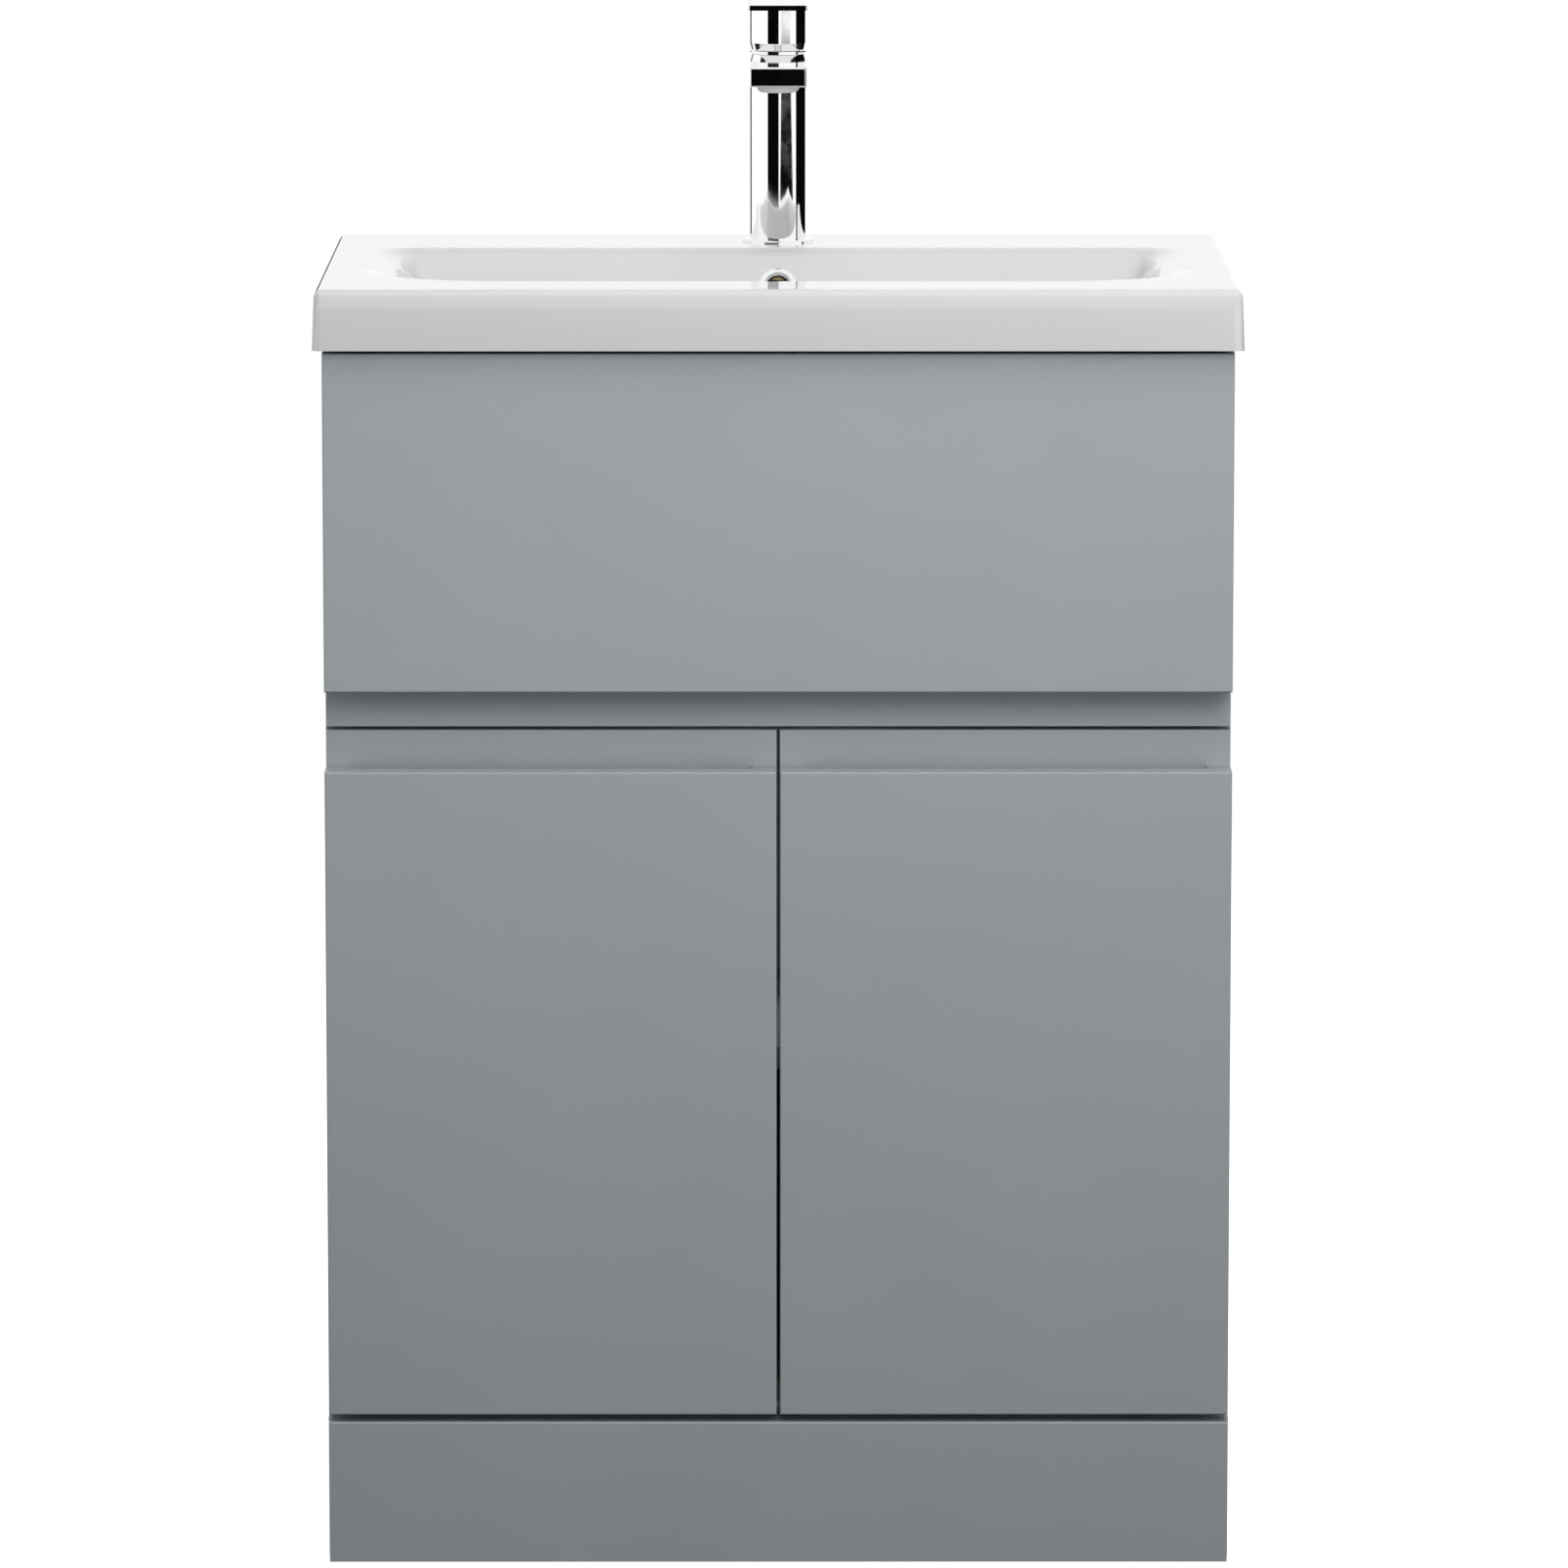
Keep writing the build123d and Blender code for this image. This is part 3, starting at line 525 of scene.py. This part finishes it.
def makeBasin():
    low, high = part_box("basin")
    wasteLow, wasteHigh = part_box("waste_body")
    tapLow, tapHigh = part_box("tap_base")
    wasteY = (wasteLow[1] + wasteHigh[1]) / 2
    tapY = (tapLow[1] + tapHigh[1]) / 2
    deckHigh = high[2]
    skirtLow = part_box("side_left")[1][2]
    topHalf = [high[0] - basinSize["draft"], high[1] - basinSize["draft"]]
    bpy.ops.object.select_all(action="DESELECT")
    nx, ny = basinSize["cells"]
    bpy.ops.mesh.primitive_grid_add(x_subdivisions=nx, y_subdivisions=ny, size=2, location=(0, 0, 0))
    basin = bpy.context.object
    basin.name = "basinShell"
    # the outermost row of cells is wider, so that the edge has room for its round
    for vertex in basin.data.vertices:
        for axis, count in ((0, nx), (1, ny)):
            inner = 1 - 2 / count
            t = vertex.co[axis]
            half = topHalf[axis]
            if abs(t) > inner + 1e-6:
                vertex.co[axis] = math.copysign(half, t)
            else:
                vertex.co[axis] = t / inner * (half - basinSize["edgeCell"])
        vertex.co.z = deckHigh - bowlDepth(vertex.co.x, vertex.co.y, wasteY)
    # the edge goes down to the cabinet with a slight draft
    bpy.ops.object.mode_set(mode="EDIT")
    bpy.ops.mesh.select_mode(type="EDGE")
    bpy.ops.mesh.select_all(action="DESELECT")
    bpy.ops.mesh.select_non_manifold()
    bpy.ops.mesh.extrude_edges_move(TRANSFORM_OT_translate={"value": (0, 0, skirtLow - deckHigh)})
    bpy.ops.transform.resize(value=(high[0] / topHalf[0], high[1] / topHalf[1], 1), center_override=(0, 0, 0))
    bpy.ops.mesh.select_all(action="SELECT")
    bpy.ops.mesh.normals_make_consistent(inside=False)
    bpy.ops.object.mode_set(mode="OBJECT")
    edge = basin.modifiers.new("edgeRound", "BEVEL")
    edge.width = basinSize["edgeRound"]
    edge.segments = basinSize["edgeSegments"]
    edge.limit_method = "ANGLE"
    edge.angle_limit = math.radians(82)  # only the outer edges are this sharp
    shell = basin.modifiers.new("shell", "SOLIDIFY")
    shell.thickness = basinSize["wall"]
    shell.offset = -1
    applyAll(basin)
    ringCentre, outwards = ringPlace()
    up = (0, 0, 1)
    cutHole(basin, (0, tapY, deckHigh), up, basinSize["tapHole"], 60 * mm)
    cutHole(basin, (0, wasteY, deckHigh - basinSize["depth"]), up, basinSize["wasteHole"], 60 * mm)
    cutHole(basin, ringCentre, outwards, basinSize["overflowHole"], 50 * mm)
    basin.data.materials.clear()
    basin.data.materials.append(finishes["ceramic"])
    settle(basin)
    bpy.ops.object.shade_smooth_by_angle(angle=math.radians(40))
    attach(basin, "cabinet")
    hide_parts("basin")
    print("basin", len(basin.data.polygons), "faces")


makeBasin()
makeOverflowRing()


threadProfile = {"sunk": 0.1 * mm, "flank": 0.36, "crest": 0.12, "steps": 48}  # flank and crest in pitches
threads = {
    "waste": {"node": "waste_body", "rides": "cabinet", "slot": "chrome", "radius": 20.95 * mm,
              "from": 2 * mm, "pitch": 2.31 * mm, "turns": 22, "depth": 0.5 * mm},
    "shank": {"node": "tap_shank", "rides": "cabinet", "slot": "brass", "radius": 16 * mm,
              "from": 1.5 * mm, "pitch": 1.5 * mm, "turns": 17, "depth": 0.35 * mm},
}


def makeThread(name):
    size = threads[name]
    low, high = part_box(size["node"])
    bpy.ops.object.select_all(action="DESELECT")
    # the outline of one ridge, run up round the axis
    bpy.ops.mesh.primitive_plane_add(size=size["pitch"], location=(0, 0, 0))
    thread = bpy.context.object
    thread.name = name + "Thread"
    bpy.ops.object.mode_set(mode="EDIT")
    bpy.ops.mesh.select_mode(type="VERT")
    bpy.ops.mesh.select_all(action="SELECT")
    bpy.ops.mesh.merge(type="CENTER")
    flank = size["pitch"] * threadProfile["flank"]
    crest = size["pitch"] * threadProfile["crest"]
    start = (size["radius"] - threadProfile["sunk"], 0, -flank - crest / 2)
    bpy.ops.transform.translate(value=start)
    for move in ((size["depth"], 0, flank), (0, 0, crest), (-size["depth"], 0, flank)):
        bpy.ops.mesh.extrude_vertices_move(TRANSFORM_OT_translate={"value": move})
    bpy.ops.object.mode_set(mode="OBJECT")
    run = thread.modifiers.new("run", "SCREW")
    run.axis = "Z"
    run.steps = run.render_steps = threadProfile["steps"]
    run.screw_offset = size["pitch"]
    run.iterations = size["turns"]
    run.use_normal_calculate = True
    applyAll(thread)
    thread.location = ((low[0] + high[0]) / 2, (low[1] + high[1]) / 2, low[2] + size["from"])
    thread.data.materials.clear()
    thread.data.materials.append(finishes[size["slot"]])
    settle(thread)
    bpy.ops.object.mode_set(mode="EDIT")
    bpy.ops.mesh.select_all(action="SELECT")
    bpy.ops.mesh.remove_doubles(threshold=1e-6)
    bpy.ops.mesh.normals_make_consistent(inside=False)
    bpy.ops.object.mode_set(mode="OBJECT")
    bpy.ops.object.shade_smooth_by_angle(angle=math.radians(35))
    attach(thread, size["rides"])
    print(name, "thread", len(thread.data.polygons), "faces")


screwSize = {
    "headRadius": 3.4 * mm,
    "headHeight": 1.1 * mm,
    "headRound": 0.5 * mm,
    "cross": (3.6 * mm, 0.7 * mm, 0.7 * mm),
    "fromMiddle": 9.8 * mm,
    "plate": 2.45 * mm,
    "plateHalf": 15 * mm,
}


def makeScrewHead():
    bpy.ops.object.select_all(action="DESELECT")
    bpy.ops.mesh.primitive_cylinder_add(vertices=32, radius=screwSize["headRadius"],
                                        depth=screwSize["headHeight"],
                                        location=(0, 0, screwSize["headHeight"] / 2))
    head = bpy.context.object
    bpy.ops.object.mode_set(mode="EDIT")
    bpy.ops.mesh.select_mode(type="VERT")
    bpy.ops.mesh.select_all(action="DESELECT")
    bpy.ops.object.mode_set(mode="OBJECT")
    for vertex in head.data.vertices:
        vertex.select = vertex.co.z > 0
    bpy.ops.object.mode_set(mode="EDIT")
    bpy.ops.mesh.bevel(offset=screwSize["headRound"], segments=4, affect="EDGES")
    bpy.ops.object.mode_set(mode="OBJECT")
    settle(head)
    length, width, depth = screwSize["cross"]
    for turned in (False, True):
        bpy.ops.object.select_all(action="DESELECT")
        bpy.ops.mesh.primitive_cube_add(size=1, location=(0, 0, screwSize["headHeight"]))
        slot = bpy.context.object
        slot.scale = (width, length, 2 * depth) if turned else (length, width, 2 * depth)
        cut = head.modifiers.new("slot", "BOOLEAN")
        cut.operation = "DIFFERENCE"
        cut.object = slot
        cut.solver = "EXACT"
        applyAll(head)
        bpy.data.objects.remove(slot)
    return head


def makeHingeScrews():
    low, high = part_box("hinge_plates")
    middle = (low[1] + high[1]) / 2
    pattern = makeScrewHead()
    heads = []
    for side in (-1, 1):
        for level in (low[2] + screwSize["plateHalf"], high[2] - screwSize["plateHalf"]):
            for step in (-1, 1):
                head = pattern.copy()
                head.data = pattern.data.copy()
                bpy.context.scene.collection.objects.link(head)
                head.location = (side * (high[0] - screwSize["plate"]), middle,
                                 level + step * screwSize["fromMiddle"])
                head.rotation_euler = (0, -side * math.pi / 2, 0)
                heads.append(head)
    bpy.data.objects.remove(pattern)
    bpy.ops.object.select_all(action="DESELECT")
    for head in heads:
        head.select_set(True)
    screws = heads[0]
    bpy.context.view_layer.objects.active = screws
    bpy.ops.object.join()
    screws.name = "hingeScrews"
    screws.data.materials.clear()
    screws.data.materials.append(finishes["steel"])
    settle(screws)
    bpy.ops.object.shade_smooth_by_angle(angle=math.radians(35))
    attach(screws, "cabinet")
    print("hinge screws", len(screws.data.polygons), "faces")


makeThread("waste")
makeThread("shank")
makeHingeScrews()
